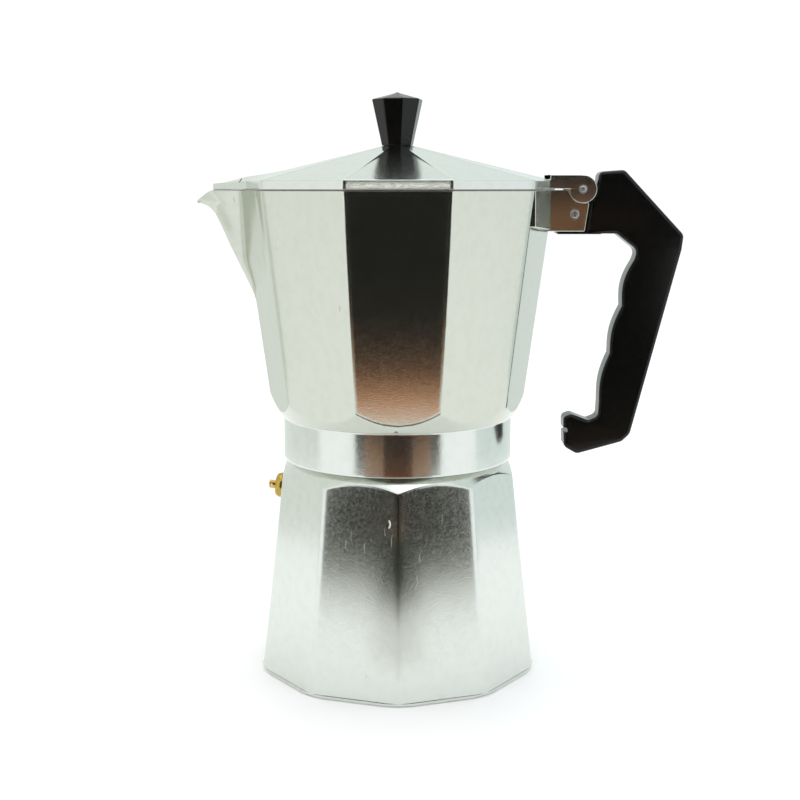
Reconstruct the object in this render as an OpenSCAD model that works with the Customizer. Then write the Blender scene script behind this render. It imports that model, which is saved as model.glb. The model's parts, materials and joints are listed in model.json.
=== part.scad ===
// Ten-sided aluminium moka pot, 251.5 mm tall, taken apart into its real pieces.
// The origin is the centre of the base, +Z is up, the spout points to -X and the handle to +X.
// Every height below is measured from the facets' lower edge, which stands foot_h above the base.

/* [Boiler] */
// Height of the turned foot under the facets
foot_h = 1.5; // [1.3:0.1:1.7]
// Radius of the boiler's ten corners at the foot
boiler_foot_r = 62.7; // [62:0.1:64]
// Radius of the boiler's ten corners at the shoulder
boiler_shoulder_r = 52.7; // [52.4:0.1:53]
// Height of the corners where the turned shoulder starts
shoulder_z = 86.1; // [85.5:0.1:86.5]
// Height of the flat on top of the shoulder
shoulder_top_z = 91.8; // [91.5:0.1:92]
// Height of the threaded neck's rim
neck_z = 104; // [103.5:0.1:104.2]
// Radius of the mouth
mouth_r = 40.5; // [40.4:0.1:41]

/* [Collector] */
// Radius of the round band below the facets
band_r = 50.2; // [50:0.1:51]
// Height of the band's lower edge
band_z = 92.3; // [92.2:0.1:92.6]
// Height of the band's upper edge
flare_z = 111; // [110.8:0.1:111.2]
// Radius of the ten corners at the band
collector_foot_r = 55.1; // [55:0.1:55.6]
// Radius of the ten corners at the rim
collector_rim_r = 68.1; // [67.8:0.1:68.3]
// Height of the rim
rim_z = 208.6; // [208.4:0.1:208.7]
// Thickness of the cast wall
wall = 2.8; // [2.6:0.1:3]

/* [Lid and knob] */
// Radius of the lid's ten corners
lid_r = 68.4; // [68.2:0.1:68.8]
// Height of the lid's lower edge
lid_z = 209.1; // [209:0.1:209.2]
// Height of the edge where the lid starts to rise
lid_edge_z = 212.6; // [212.4:0.1:212.8]
// Height of the pyramid's point, above the flat boss that cuts it
lid_apex_z = 229; // [228.6:0.1:229.2]
// Height of the knob's foot
knob_z = 228.3; // [228.2:0.1:228.4]
// Height of the top of the knob
pot_h = 250; // [249.5:0.1:250.5]
// Radius of the knob's eight corners at its widest
knob_top_r = 11.1; // [10.6:0.1:11.2]

/* [Hinge and handle] */
// Distance of the lid's hinge pin from the middle of the pot
hinge_x = 78.8; // [78.7:0.1:78.9]
// Height of the hinge pin
hinge_z = 209.2; // [209.1:0.1:209.3]
// Diameter of the hinge pin
hinge_pin_d = 3; // [2.8:0.1:3]
// Width of the handle
handle_w = 12; // [11.5:0.5:15]
// Width of the handle's tongue inside the bracket
tongue_w = 10.8; // [10.6:0.1:10.8]

/* [Coffee path] */
// Outer radius of the funnel's cup
cup_r = 40.2; // [40:0.1:40.2]
// Outer radius of the funnel's stem
stem_r = 6.5; // [6:0.1:7]
// Thickness of the funnel's sheet
sheet = 0.8; // [0.6:0.1:0.8]
// Thickness of the rubber gasket
gasket_t = 3.6; // [3.4:0.1:3.6]

/* [Hidden] */

$fn = 96;
sides = 10;
big = 200;
eps = 0.01;
inward = cos(180 / sides);

// thread between the boiler and the collector, shown as rings that clear each other
thread_pitch = 3.5;
thread_turns = 3;
neck_root_r = 43.3;
neck_crest_r = 44.3;
band_crest_r = 44.8;
band_root_r = 45.9;
thread_z = 93.6;

// boiler cavity
floor_t = 4;
cavity_foot_r = 55.2;
cavity_top_r = 47;
cavity_top_z = 84;
cavity_neck_z = 89.5;

// safety valve, square to the boiler's flat that faces -X
valve_z = 78.2;
boiler_slope = (boiler_foot_r - boiler_shoulder_r) / shoulder_z;
valve_x = (boiler_foot_r - boiler_slope * valve_z) * inward;
valve_tilt = atan(boiler_slope * inward);
valve_hole_r = 4.1;
valve_shank_r = 4;
valve_shank_end = -9.4;
valve_boss_face = -4.6;
valve_boss_r = 7.6;
valve_washer_t = 0.8;
valve_nut_t = 3;
chamber_r = 2.9;
chamber_foot = -7.6;
chamber_top = 2.4;
valve_dome_h = 3.8;
valve_flange_r = 5.6;
valve_stem_r = 1.9;
poppet_t = 1.2;
spring_wire = 0.5;
spring_r = 2.4;
spring_turns = 6;

// stack that the collector squeezes when it is screwed down
flange_t = 0.8;
gasket_z = neck_z + flange_t;
plate_z = gasket_z + gasket_t;
plate_r = 37.2;
plate_t = 0.6;
plate_rise = 1.5;
seat_r = 37.6;
recess_r = 43.9;
chamber_roof_z = 112.2;
floor_z = 115;

// column that carries the coffee up
column_foot_r = 10.5;
column_top_r = 8;
column_top_z = 176;
column_bore_r = 4.2;
column_spigot_r = 7;

// bracket cast on the collector for the handle and the hinge
slot_w = 11.2;
slot_foot_x = 66.4;
slot_top_x = 69.6;
lug_w = 18.8;
lug_z = 191.3;
lug_top_z = 208.6;
pin_eye_r = 3.9;
pad_proud = 0.25;
hinge_clearance = 0.1;
handle_pin_x = 75.9;
handle_pin_z = 198.7;
handle_pin_r = 1.8;
ear_inner_y = 9.7;
ear_outer_y = 11.7;
ear_r = 5.9;
arm_top_z = 215.2;
arm_x = 64.8;
web_t = 1.8;

// spout, one half of it mirrored to the other
spout_keel = [[-60, 158.4], [-63.4, 165.7], [-79.4, 199.2]];
spout_lip = [[-79.4, 199.2], [-82.9, 202.4], [-87, 203.5], [-87, 204.3], [-82.6, 207.7], [-79.4, rim_z]];
spout_root = [-66.5, 10.5];
spout_blend = [-57.9, 30.4];
spout_blend_z = 182;

function lid_ridge(r) = lid_edge_z + (lid_apex_z - lid_edge_z) * (1 - r / lid_r);

// Points of an arc, from one angle to another
function arc(c, r, a0, a1, n) = [for (i = [0:n]) let (a = a0 + (a1 - a0) * i / n)
    [c[0] + r * cos(a), c[1] + r * sin(a)]];

// One corner of an outline, rounded to radius p[2] between its neighbours
function rounded_corner(before, p, after) =
    let (q = [p[0], p[1]],
         u = ([before[0], before[1]] - q) / norm([before[0], before[1]] - q),
         v = ([after[0], after[1]] - q) / norm([after[0], after[1]] - q),
         half = acos(u * v) / 2,
         back = p[2] / tan(half),
         n = p[2] < 0.1 ? 0 : 5)
    n == 0 ? [q] : let (c = q + (u + v) / norm(u + v) * p[2] / sin(half),
         s = q + u * back - c,
         turn = sign(u[0] * v[1] - u[1] * v[0]) * -(180 - 2 * half))
    [for (i = [0:n]) let (a = turn * i / n)
        c + [s[0] * cos(a) - s[1] * sin(a), s[0] * sin(a) + s[1] * cos(a)]];

// A closed outline of [x, z, radius] corners
function rounded_outline(pts) = let (n = len(pts))
    [for (i = [0:n - 1]) each rounded_corner(pts[(i + n - 1) % n], pts[i], pts[(i + 1) % n])];

// A ten-sided frustum, with corners on +X and -X
module tensided(r0, r1, z0, z1) {
    translate([0, 0, z0]) cylinder(r1 = r0, r2 = r1, h = z1 - z0, $fn = sides);
}

module tensided_prism(r, z0, z1) {
    translate([0, 0, z0]) cylinder(r = r, h = z1 - z0, $fn = sides);
}

// A solid of revolution from [radius, height] corners
module turned(pts) {
    rotate_extrude() polygon(pts);
}

// Extrudes an outline drawn in X and Z across the pot, between two Y values
module across(y0, y1) {
    translate([0, y1, 0]) rotate([90, 0, 0]) linear_extrude(y1 - y0) children();
}

module pin_across(x, z, r, half) {
    translate([x, half, z]) rotate([90, 0, 0]) cylinder(r = r, h = 2 * half);
}

// The convex solid around a list of points
module wrapped(pts) {
    hull() polyhedron(points = pts, faces = [[for (i = [0:len(pts) - 1]) i]]);
}

module both_sides() {
    children();
    mirror([0, 1, 0]) children();
}

// Local frame of the safety valve: +Z points out of the boiler's flat, square to it
module at_valve() {
    translate([-valve_x, 0, valve_z]) rotate([0, valve_tilt - 90, 0]) children();
}

module thread_rings(root_r, crest_r) {
    for (i = [0:thread_turns - 1]) translate([0, 0, thread_z + i * thread_pitch])
        turned([[root_r, 0], [crest_r, 1], [crest_r, 1.4], [root_r, 2.4]]);
}

module hole_grid(rings, spacing, hole_r, z0, z1) {
    translate([0, 0, z0]) cylinder(r = hole_r, h = z1 - z0, $fn = 24);
    for (ring = [1:rings]) for (i = [0:6 * ring - 1])
        rotate([0, 0, i * 60 / ring]) translate([ring * spacing, 0, z0])
            cylinder(r = hole_r, h = z1 - z0, $fn = 24);
}

// Lifts a piece from the facets' lower edge onto the foot
module raised() {
    translate([0, 0, foot_h]) children();
}

module boiler() {
    foot_r = 61.9;
    foot_corner_r = 63.4;
    raised() color("silver") difference() {
        union() {
            // faceted body, turned to a cone at the shoulder
            intersection() {
                rotate([0, 0, 18]) tensided(boiler_foot_r,
                    boiler_foot_r - boiler_slope * (shoulder_top_z + 2), 0, shoulder_top_z + 2);
                turned([[0, 0], [70, 0], [70, shoulder_z - 17.3], [boiler_shoulder_r, shoulder_z],
                    [boiler_shoulder_r - 5.5, shoulder_top_z], [0, shoulder_top_z]]);
            }
            // foot, turned almost round
            intersection() {
                turned([[0, -foot_h], [foot_r - 0.4, -foot_h], [foot_r, -foot_h + 0.4], [foot_r, 0.3],
                    [0, 0.3]]);
                rotate([0, 0, 18]) tensided_prism(foot_corner_r, -foot_h - 1, 1);
            }
            // threaded neck
            translate([0, 0, shoulder_top_z - 1]) cylinder(r = neck_root_r, h = neck_z - shoulder_top_z + 1);
            thread_rings(neck_root_r - eps, neck_crest_r);
        }
        // cavity, less the boss that the valve's nut bears on
        difference() {
            turned([[0, floor_t], [cavity_foot_r - 3.5, floor_t], [cavity_foot_r - 1, floor_t + 1],
                [cavity_foot_r, floor_t + 3.5], [cavity_top_r, cavity_top_z],
                [mouth_r, cavity_neck_z], [mouth_r, neck_z + 1], [0, neck_z + 1]]);
            at_valve() translate([0, 0, valve_boss_face]) cylinder(r = valve_boss_r, h = 6);
        }
        at_valve() translate([0, 0, -12]) cylinder(r = valve_hole_r, h = 16);
        // turned ring under the base
        translate([0, 0, -foot_h - 1]) difference() {
            cylinder(r = 49, h = 1.6);
            cylinder(r = 46.5, h = 4);
        }
    }
}

module valve_body() {
    raised() color("gold") at_valve() difference() {
        union() {
            turned(concat([[0, 0], [valve_flange_r, 0], [valve_flange_r, 1.2]],
                arc([valve_flange_r - 2.6, 1.2], 2.6, 0, 90, 8), [[0, valve_dome_h]]));
            translate([0, 0, valve_shank_end]) cylinder(r = valve_shank_r, h = -valve_shank_end);
        }
        translate([0, 0, chamber_foot]) cylinder(r = chamber_r, h = chamber_top - chamber_foot);
        translate([0, 0, -15]) cylinder(r = 1.2, h = 10);
        cylinder(r = valve_stem_r + 0.05, h = 10);
    }
}

module valve_washer() {
    raised() color("white") at_valve() translate([0, 0, valve_boss_face - valve_washer_t]) difference() {
        cylinder(r = 6.8, h = valve_washer_t);
        translate([0, 0, -1]) cylinder(r = valve_hole_r, h = 4);
    }
}

module valve_nut() {
    raised() color("gold") at_valve() translate([0, 0, valve_boss_face - valve_washer_t - valve_nut_t])
        difference() {
            cylinder(r = 7.2, h = valve_nut_t, $fn = 6);
            translate([0, 0, -1]) cylinder(r = valve_shank_r, h = 6);
        }
}

module valve_stem() {
    end = 6.6;
    raised() color("darkgoldenrod") at_valve() difference() {
        union() {
            translate([0, 0, chamber_foot]) cylinder(r = chamber_r - 0.2, h = poppet_t);
            translate([0, 0, chamber_foot]) cylinder(r = valve_stem_r, h = end - 0.4 - chamber_foot);
            translate([0, 0, end - 0.4 - eps])
                cylinder(r1 = valve_stem_r, r2 = valve_stem_r - 0.4, h = 0.4);
        }
        // hole across the outer end
        translate([0, 0, end - 1.2]) rotate([90, 0, 0]) cylinder(r = 0.55, h = 8, center = true);
    }
}

// Helical wire, swept as one closed tube
module valve_spring() {
    z0 = chamber_foot + poppet_t + spring_wire / 2 + 0.02;
    z1 = chamber_top - spring_wire / 2 - 0.02;
    per_turn = 14;
    n = spring_turns * per_turn;
    m = 6;
    function ring(i) = let (a = 360 * i / per_turn, z = z0 + (z1 - z0) * i / n)
        [for (k = [0:m - 1]) let (b = 360 * k / m, r = spring_r + spring_wire / 2 * cos(b))
            [r * cos(a), r * sin(a), z + spring_wire / 2 * sin(b)]];
    pts = [for (i = [0:n]) each ring(i)];
    faces = concat([[for (k = [0:m - 1]) k]], [[for (k = [m - 1:-1:0]) n * m + k]],
        [for (i = [0:n - 1]) for (k = [0:m - 1])
            [i * m + k, (i + 1) * m + k, (i + 1) * m + (k + 1) % m, i * m + (k + 1) % m]]);
    raised() color("lightgray") at_valve() polyhedron(points = pts, faces = faces);
}

// Cup, cone and stem, from sheet of one thickness
module funnel() {
    cup_foot_z = 82.2;
    cone_z = 72;
    stem_z = 10;
    ledge = 0.9;
    raised() color("silver") turned([
        [cup_r + 3, neck_z], [cup_r + 3, gasket_z], [cup_r - sheet, gasket_z],
        [cup_r - sheet, cup_foot_z + 0.8], [cup_r - sheet - ledge, cup_foot_z + 0.8],
        [cup_r - 4, cup_foot_z - 2.2], [stem_r + 1, cone_z + sheet],
        [stem_r - sheet, cone_z - 1.5 + sheet], [stem_r - sheet, stem_z],
        [stem_r, stem_z], [stem_r, cone_z - 1.5], [stem_r + 1.5, cone_z],
        [cup_r - 3, cup_foot_z - 3.2], [cup_r, cup_foot_z], [cup_r, neck_z]]);
}

module funnel_screen() {
    z = 83;
    raised() color("gainsboro") difference() {
        translate([0, 0, z]) cylinder(r = cup_r - sheet - 0.1, h = 0.6);
        hole_grid(4, 7.2, 1.1, z - 1, z + 2);
    }
}

module gasket() {
    inner_r = 33.5;
    outer_r = 43.6;
    edge = 0.5;
    raised() color("ivory") turned([[inner_r, gasket_z], [outer_r, gasket_z], [outer_r, plate_z - edge],
        [outer_r - edge, plate_z], [inner_r, plate_z]]);
}

module filter_plate() {
    top = plate_z + plate_rise;
    raised() color("gainsboro") difference() {
        turned([[0, top], [30.6, top], [32.1, plate_z], [plate_r, plate_z],
            [plate_r, plate_z + plate_t], [32.6, plate_z + plate_t], [31.1, top + plate_t],
            [0, top + plate_t]]);
        hole_grid(5, 5.2, 0.8, top - 1, top + 2);
    }
}

// Wedge of the spout outside the faceted wall; inset leaves the wall's thickness
module spout_wedge(inset, top_z) {
    root_x = spout_root[0] + inset;
    root_y = spout_root[1] - inset;
    blend_x = spout_blend[0] + inset;
    blend_y = spout_blend[1] - inset;
    wrapped([
        [spout_keel[0][0] + inset, 0, spout_keel[0][1]],
        [spout_keel[1][0] + inset, 0, spout_keel[1][1]],
        [spout_keel[2][0] + 1.4 * inset, 0, spout_keel[2][1]],
        [spout_keel[2][0] - 2.2 + 1.4 * inset, 0, top_z],
        [root_x, root_y, top_z], [root_x, -root_y, top_z],
        [blend_x, blend_y, top_z], [blend_x, -blend_y, top_z],
        [blend_x + 3.6, blend_y, spout_blend_z], [blend_x + 3.6, -blend_y, spout_blend_z],
        [-50, 0, 170], [-50, 0, top_z]]);
}

// Pouring lip in front of the wedge, curling outwards
module spout_nose(inset) {
    tip_y = 1.8 - 0.8 * inset / wall;
    intersection() {
        across(-12, 12) polygon([for (p = concat([[-70, 196]], spout_lip, [[-70, rim_z]]))
            [p[0], p[1] + (p[1] < 204 ? inset * 0.6 : inset)]]);
        linear_extrude(big * 1.2) polygon([
            [-66, spout_root[1] - inset], [-88.5 + inset, tip_y],
            [-88.5 + inset, -tip_y], [-66, -spout_root[1] + inset]]);
        wrapped([for (s = [-1, 1]) each [
            [-66, s * (spout_root[1] + 0.5), 190], [-66, s * (spout_root[1] + 0.5), rim_z + 9],
            [-88.5, s * 3, rim_z + 9], [-88.5, 0, 200 + inset * 0.6],
            [-70, s * 0.1, 180 + inset * 0.6]]]);
    }
}

module bracket() {
    // pad that fills the two facets beside the corner to an upright face
    intersection() {
        tensided_prism(collector_rim_r + pad_proud, 180, rim_z);
        across(-40, 40) polygon([[50, lug_z], [70, lug_z], [70, rim_z], [50, rim_z]]);
        linear_extrude(big * 1.2) polygon([[40, -30], [65, -44], [90, -44], [90, 44], [65, 44], [40, 30]]);
        rotate([0, 90, 0]) linear_extrude(90)
            polygon([[-lug_z, -9.4], [-lug_z, 9.4], [-lug_z - 2.4, 37], [-rim_z, 36],
                [-rim_z, -36], [-lug_z - 2.4, -37]]);
    }
    // two cheeks with the eye of the hinge pin
    across(-lug_w / 2, lug_w / 2) {
        polygon([[60, lug_z], [80.1, lug_z], [82, 204.6], [hinge_x + pin_eye_r, hinge_z],
            [hinge_x, hinge_z], [hinge_x - pin_eye_r, lug_top_z], [60, lug_top_z]]);
        translate([hinge_x, hinge_z]) circle(r = pin_eye_r);
    }
}

module collector() {
    band_groove = 0.5;
    flare = 0.62;
    inner_foot_r = collector_foot_r - wall / inward;
    inner_rim_r = collector_rim_r - wall / inward;
    raised() color("silver") difference() {
        union() {
            // round band and the faceted body, turned to a cone where they meet
            turned([[0, band_z], [band_r - band_groove, band_z], [band_r, band_z + band_groove],
                [band_r, flare_z + 0.2], [0, flare_z + 0.2]]);
            intersection() {
                tensided(collector_foot_r, collector_rim_r, flare_z, rim_z);
                turned([[0, flare_z - 1], [band_r + 0.5, flare_z - 1], [band_r + 0.7, flare_z],
                    [band_r + 0.7 + flare * 30, flare_z + 30], [70, rim_z + 1], [0, rim_z + 1]]);
            }
            spout_wedge(0, rim_z);
            spout_nose(0);
            bracket();
        }
        // open inside, down to the floor
        intersection() {
            translate([0, 0, flare_z]) cylinder(r1 = inner_foot_r,
                r2 = inner_rim_r + (inner_rim_r - inner_foot_r) * 0.1, h = (rim_z - flare_z) * 1.1,
                $fn = sides);
            turned([[0, floor_z], [45, floor_z], [49.6, floor_z + 1.8], [68, floor_z + 36],
                [68, rim_z + 4], [0, rim_z + 4]]);
        }
        spout_wedge(wall * 0.9, rim_z + 1);
        spout_nose(wall * 0.7);
        // thread, gasket recess and the chamber above the filter plate
        turned([[0, band_z - 1], [band_root_r, band_z - 1], [band_root_r, gasket_z + 0.1],
            [recess_r, gasket_z + 0.1], [recess_r, plate_z], [seat_r, plate_z],
            [seat_r, plate_z + 2.6], [column_foot_r, chamber_roof_z], [0, chamber_roof_z]]);
        cylinder(r = column_spigot_r, h = floor_z + 10);
        // slot for the handle's tongue, and the two pins
        across(-slot_w / 2, slot_w / 2)
            polygon([[slot_foot_x, lug_z - 5], [100, lug_z - 5], [100, rim_z + 9], [slot_top_x, rim_z + 9]]);
        pin_across(hinge_x, hinge_z, hinge_pin_d / 2 + 0.05, 30);
        pin_across(handle_pin_x, handle_pin_z, handle_pin_r, 30);
    }
    raised() color("silver") thread_rings_inside();
}

// Ridges of the collector's inner thread
module thread_rings_inside() {
    for (i = [0:thread_turns - 1]) translate([0, 0, thread_z + (i - 0.5) * thread_pitch + 0.7])
        turned([[band_root_r + 0.3, 0], [band_root_r + 0.3, 2.4], [band_root_r, 2.4],
            [band_crest_r, 1.4], [band_crest_r, 1], [band_root_r, 0]]);
}

module column() {
    raised() color("silver") difference() {
        union() {
            turned([[0, floor_z], [column_foot_r + 2, floor_z], [column_foot_r, floor_z + 2],
                [column_top_r, column_top_z], [0, column_top_z]]);
            translate([0, 0, chamber_roof_z]) cylinder(r = column_spigot_r, h = 5);
        }
        translate([0, 0, chamber_roof_z - 1]) cylinder(r = column_bore_r, h = 90);
    }
}

// Domed cap pressed into the column, with two windows for the coffee
module column_cap() {
    raised() color("silver") difference() {
        union() {
            turned(concat([[0, column_top_z], [column_top_r, column_top_z]],
                [[column_top_r, column_top_z + 5]],
                arc([column_top_r - 3, column_top_z + 5], 3, 0, 90, 8), [[0, column_top_z + 8]]));
            translate([0, 0, column_top_z - 6]) cylinder(r = column_bore_r, h = 7);
        }
        translate([0, 0, column_top_z - 7]) cylinder(r = column_bore_r - 1, h = 11);
        translate([-20, -2.2, column_top_z + 1]) cube([40, 4.4, 3]);
    }
}

// Grip outline: [x, z, corner radius], clockwise from the nose
handle_outline = [
    [86.6, 216.6, 1.2], [97.4, 217.4, 3], [123.7, 189.7, 3], [123, 183.4, 3],
    [102.8, 102.2, 5], [99.2, 98.8, 3], [79.4, 93.3, 2.5], [73.6, 96.6, 3],
    [74.7, 102.2, 0.4], [75.9, 103, 0.4], [75.9, 105, 0.4], [73.9, 105.8, 0.4],
    [73.3, 109.8, 2.2], [76.8, 111.1, 1.5], [84.2, 108.4, 2], [88.4, 110.2, 2.4]];
handle_knuckles = [[[88.7, 116.6], [92.9, 138.2], 1.5], [[92.9, 138.2], [97.7, 159], 1.6],
    [[97.7, 159], [102.5, 179], 2]];
handle_shoulder = [[103.8, 183, 3.5], [94.6, 190.2, 3], [80.8, 190.2, 0.3], [82.9, 204.4, 0.3],
    [85.2, 208, 0.5]];

// Points of a shallow bump between two points, standing out to the left by its height
function bump(a, b, h) = let (d = norm(b - a), n = [-(b - a)[1], (b - a)[0]] / d)
    [for (i = [0:8]) a + (b - a) * i / 8 + n * h * sin(180 * i / 8)];

module handle() {
    tongue = [[67.2, 189.8, 0.8], [82, 189.8, 0], [90, 189.8, 0], [90, 205.4, 0], [69.6, 205.4, 1]];
    outline = concat(handle_outline, [for (k = handle_knuckles) each
        [for (p = bump(k[0], k[1], k[2])) [p[0], p[1], 0]]], handle_shoulder);
    raised() color([0.09, 0.09, 0.09]) difference() {
        union() {
            across(-handle_w / 2, handle_w / 2) polygon(rounded_outline(outline));
            across(-tongue_w / 2, tongue_w / 2) polygon(rounded_outline(tongue));
        }
        pin_across(handle_pin_x, handle_pin_z, handle_pin_r, 30);
        pin_across(hinge_x, hinge_z, ear_r + 0.4, 30);
    }
}

module handle_pin() {
    raised() color("gray") pin_across(handle_pin_x, handle_pin_z, handle_pin_r, lug_w / 2 + 0.2);
}

module hinge_pin() {
    raised() color("gray") pin_across(hinge_x, hinge_z, hinge_pin_d / 2, ear_outer_y + 0.4);
}

// Raised ridge of the lid that covers the spout
module lid_beak(grow) {
    wrapped([for (s = [-1, 1]) each [
        [-56, s * (11 + grow), lid_z], [-56, s * (11 + grow), 212.4],
        [-66, s * (10.6 + grow), lid_z], [-66, s * (10.6 + grow), 211.6],
        [-79 - grow, s * (3.6 + grow), lid_z], [-77.6, s * (3.4 + grow), 210.6],
        [-56, s * 2.6, 215.2 + grow], [-66, s * 2.2, 213.9 + grow], [-77.4, s * 1.2, 211 + grow]]]);
}

module hinge_arm() {
    both_sides() across(ear_inner_y, ear_outer_y) {
        polygon([[56, lid_z + 0.4], [hinge_x - 5, lid_z + 0.4], [hinge_x, hinge_z],
            [hinge_x + 2, arm_top_z - 0.1], [hinge_x, arm_top_z], [arm_x, arm_top_z],
            [arm_x, lid_edge_z + 0.4], [56, lid_edge_z + 0.4]]);
        translate([hinge_x, hinge_z]) circle(r = ear_r);
    }
    across(-ear_outer_y, ear_outer_y)
        polygon([[arm_x, arm_top_z - web_t], [hinge_x + 2, arm_top_z - web_t],
            [hinge_x + 1.4, arm_top_z], [arm_x, arm_top_z]]);
    // foot that joins the arm to the lid
    across(-ear_outer_y, ear_outer_y)
        polygon([[56, lid_z + 0.4], [67.4, lid_z + 0.4], [67.4, arm_top_z], [arm_x, arm_top_z],
            [arm_x, lid_edge_z + 0.4], [56, lid_edge_z + 0.4]]);
}

module lid() {
    lid_wall = 2;
    boss_r = 6.6;
    band_in = lid_r - lid_wall / inward;
    raised() color("silver") difference() {
        union() {
            tensided_prism(lid_r, lid_z, lid_edge_z);
            tensided(lid_r, boss_r - 1, lid_edge_z, lid_ridge(boss_r - 1));
            translate([0, 0, lid_edge_z]) cylinder(r = boss_r, h = knob_z - lid_edge_z);
            lid_beak(0);
            hinge_arm();
        }
        difference() {
            union() {
                tensided_prism(band_in, lid_z - 1, lid_edge_z - 1.4);
                tensided(band_in, boss_r + 1.4, lid_edge_z - 1.41, 225);
            }
            translate([56, -ear_outer_y, 0]) cube([20, 2 * ear_outer_y, big * 1.2]);
        }
        pin_across(hinge_x, hinge_z, hinge_pin_d / 2 + hinge_clearance, 30);
        translate([0, 0, 200]) cylinder(r = 2.1, h = 40);
    }
}

module knob() {
    foot_r = 6.8;
    cap_z = 246.8;
    raised() color([0.08, 0.08, 0.08]) difference() {
        rotate([0, 0, 11.25]) union() {
            translate([0, 0, knob_z]) cylinder(r1 = foot_r, r2 = knob_top_r, h = cap_z - knob_z, $fn = 8);
            translate([0, 0, cap_z]) cylinder(r1 = knob_top_r, r2 = 1.2, h = pot_h - cap_z, $fn = 8);
        }
        translate([0, 0, knob_z - 1]) cylinder(r = 2, h = 13);
    }
}

module knob_screw() {
    raised() color("gray") {
        translate([0, 0, 223.8]) cylinder(r = 1.9, h = 15.4);
        difference() {
            turned([[0, 222], [3, 222], [3.8, 222.8], [3.8, 224.2], [0, 224.2]]);
            translate([-5, -0.5, 221]) cube([10, 1, 1.8]);
        }
    }
}

module knob_washer() {
    raised() color("silver") translate([0, 0, 224.2]) difference() {
        cylinder(r = 5.4, h = 0.8);
        translate([0, 0, -1]) cylinder(r = 2.1, h = 3);
    }
}

boiler();
valve_body();
valve_washer();
valve_nut();
valve_stem();
valve_spring();
funnel();
funnel_screen();
gasket();
filter_plate();
collector();
column();
column_cap();
handle();
handle_pin();
hinge_pin();
lid();
knob();
knob_screw();
knob_washer();
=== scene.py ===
import json
import math

import bmesh
import bpy
import numpy as np
from mathutils import Matrix, Vector


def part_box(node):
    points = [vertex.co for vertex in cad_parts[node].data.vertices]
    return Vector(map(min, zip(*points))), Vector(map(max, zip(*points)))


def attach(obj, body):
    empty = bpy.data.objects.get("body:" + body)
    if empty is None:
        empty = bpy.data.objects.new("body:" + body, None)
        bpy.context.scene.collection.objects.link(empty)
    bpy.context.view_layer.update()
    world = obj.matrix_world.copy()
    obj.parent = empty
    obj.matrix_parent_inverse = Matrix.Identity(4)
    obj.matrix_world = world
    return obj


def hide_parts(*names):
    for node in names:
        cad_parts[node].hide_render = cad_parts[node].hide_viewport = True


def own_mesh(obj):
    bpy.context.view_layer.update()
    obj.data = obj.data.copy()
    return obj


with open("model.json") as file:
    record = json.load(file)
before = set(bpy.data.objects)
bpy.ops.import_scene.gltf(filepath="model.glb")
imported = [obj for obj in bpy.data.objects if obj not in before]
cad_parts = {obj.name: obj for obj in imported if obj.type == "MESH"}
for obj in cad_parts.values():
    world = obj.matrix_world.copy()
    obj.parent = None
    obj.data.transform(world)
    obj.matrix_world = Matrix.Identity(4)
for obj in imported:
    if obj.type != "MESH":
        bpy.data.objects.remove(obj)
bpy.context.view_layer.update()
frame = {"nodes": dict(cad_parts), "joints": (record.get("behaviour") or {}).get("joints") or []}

# ---------------------------------------------------------------- sizes, in millimetres
# X and Y are from the middle of the boiler's CAD box, and heights are above the facets' lower
# edge, which stands on the turned foot.
MM = 0.001
FOOT = 1.5
BASE_LOW, BASE_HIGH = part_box("boiler")
MIDDLE = (BASE_LOW + BASE_HIGH) / 2
ORIGIN = Vector((MIDDLE.x, MIDDLE.y, BASE_LOW.z + FOOT * MM))


def local_box(node):
    """A CAD node's box in millimetres, from that same origin."""
    low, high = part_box(node)
    return (low - ORIGIN) / MM, (high - ORIGIN) / MM


NECK_TOP = local_box("boiler")[1].z
BAND_LOW = local_box("collector")[0].z
KNOB_TOP = local_box("knob")[1].z
HINGE = (local_box("hinge_pin")[0] + local_box("hinge_pin")[1]) / 2
HINGE_HALF = local_box("hinge_pin")[1].y
HANDLE_PIN = (local_box("handle_pin")[0] + local_box("handle_pin")[1]) / 2
HANDLE_PIN_HALF = local_box("handle_pin")[1].y
HANDLE_HALF = local_box("handle")[1].y
RIM = HINGE.z - 0.38
LID_LOW = HINGE.z - 0.26
EDGE_COS = math.cos(math.radians(18))

BOILER_FOOT, BOILER_SLOPE = local_box("boiler")[1].y, 0.1161
CONE_START, CONE_SLOPE = 135.8, 0.965
COLLECTOR_FOOT, COLLECTOR_SLOPE = 55.1, 0.1332
WALL = 2.8
THREAD_PITCH = 3.5
FOOT_R, FOOT_CORNER_R = 61.9, 63.4
SHOULDER_TOP = 91.8
NECK_R = 43.3
BAND_R = 50.2
THREAD_HOLE_R = 45.9
PAD_CORNER = 68.35
LID_CORNER = 68.4
LID_RISE = 0.2398
GRIP_BEVEL = 1.7


# ---------------------------------------------------------------- mesh helpers
def smoothstep(t):
    t = np.clip(t, 0, 1)
    return t * t * (3 - 2 * t)


def soft_min(a, b, power):
    low = np.minimum(a, b)
    return low * ((a / low) ** -power + (b / low) ** -power) ** (-1 / power)


def soft_max(a, b, power):
    high = np.maximum(a, b)
    return high * ((a / high) ** power + (b / high) ** power) ** (1 / power)


def angle_from(theta, direction):
    """Signed angle from a direction, in radians, between -pi and pi."""
    return (theta - direction + math.pi) % (2 * math.pi) - math.pi


def polygon_radius(theta, sides, first_normal, power):
    """Radius of a regular polygon with an inner radius of 1 and slightly rounded corners."""
    total = np.zeros_like(theta)
    for k in range(sides):
        c = np.cos(theta - first_normal - 2 * math.pi * k / sides)
        total += np.where(c > 0.2, np.maximum(c, 0.2) ** power, 0)
    return total ** (-1 / power)


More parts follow.
